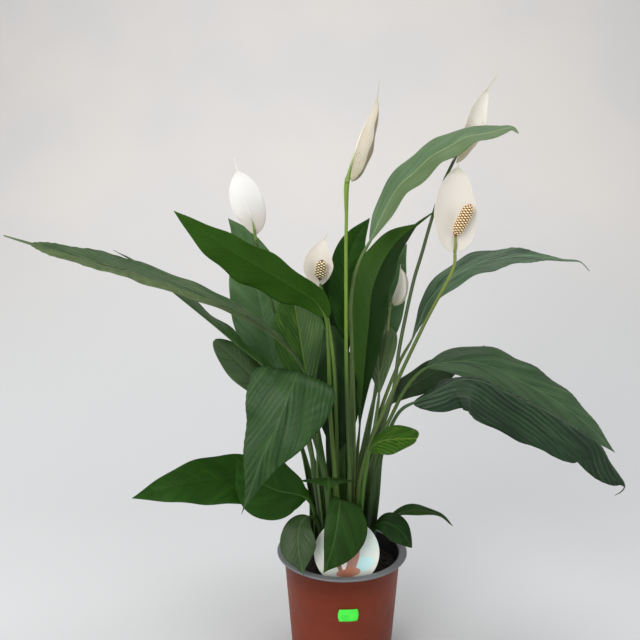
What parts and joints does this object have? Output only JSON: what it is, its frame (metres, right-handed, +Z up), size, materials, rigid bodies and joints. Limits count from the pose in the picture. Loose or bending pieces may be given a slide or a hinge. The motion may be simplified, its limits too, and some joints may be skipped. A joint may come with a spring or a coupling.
{
  "type": "potted peace lily",
  "caption": "Live peace lily in a round plastic nursery pot, with long arching green leaves, white hooded blooms on tall stems and a round plant label in the soil.",
  "frame": {"origin": "middle of the pot's flat underside, on the surface it stands on", "axes": "+Z up through the pot's axis; -Y toward the front, where the label and sticker face; +X to the right seen from the front"},
  "size_m": [0.742, 0.3301, 0.762],
  "materials": {
    "pot": "satin terracotta-brown outside and rim, dark inside",
    "soil": "dark, coarse and matt potting mix of peat and bark",
    "label": "smooth pale card, bare of print",
    "sticker": "bright green, matt, bare",
    "leaf": "soft satin leaf surface with side veins",
    "stem": "smooth green stem",
    "spathe": "soft white, slightly translucent",
    "spadix": "matt cream florets"
  },
  "bodies": {
    "root": {"pot": "pot", "soil": "soil", "plant_label": "label", "price_sticker": "sticker", "leaf_long_left": "leaf", "leaf_long_left_behind": "leaf", "leaf_broad_left": "leaf", "leaf_upright_back_left": "leaf", "leaf_upright_left": "leaf", "leaf_small_left": "leaf", "leaf_front_drooping": "leaf", "leaf_lower_left": "leaf", "leaf_lower_left_behind": "leaf", "leaf_over_rim_left": "leaf", "leaf_centre_low": "leaf", "leaf_front_small": "leaf", "leaf_over_rim_right": "leaf", "leaf_narrow_right": "leaf", "leaf_small_bright": "leaf", "leaf_right_upper": "leaf", "leaf_right_lower": "leaf", "leaf_right_behind": "leaf", "leaf_right_high": "leaf", "leaf_top_right": "leaf", "leaf_centre_tall": "leaf", "leaf_centre_tall_behind": "leaf", "leaf_back_right_tall": "leaf", "leaf_centre_right_short": "leaf", "leaf_inner_drooping": "leaf", "leaf_back_upright": "leaf", "leaf_back_arching": "leaf", "leaf_back_left_arching": "leaf", "bloom_left_stem": "stem", "bloom_left_spathe": "spathe", "bloom_left_spadix": "spadix", "bloom_tall_closed_stem": "stem", "bloom_tall_closed_spathe": "spathe", "bloom_tall_closed_spadix": "spadix", "bloom_top_right_stem": "stem", "bloom_top_right_spathe": "spathe", "bloom_top_right_spadix": "spadix", "bloom_right_stem": "stem", "bloom_right_spathe": "spathe", "bloom_right_spadix": "spadix", "bloom_small_stem": "stem", "bloom_small_spathe": "spathe", "bloom_small_spadix": "spadix", "bloom_bud_stem": "stem", "bloom_bud_spathe": "spathe"}
  },
  "joints": []
}
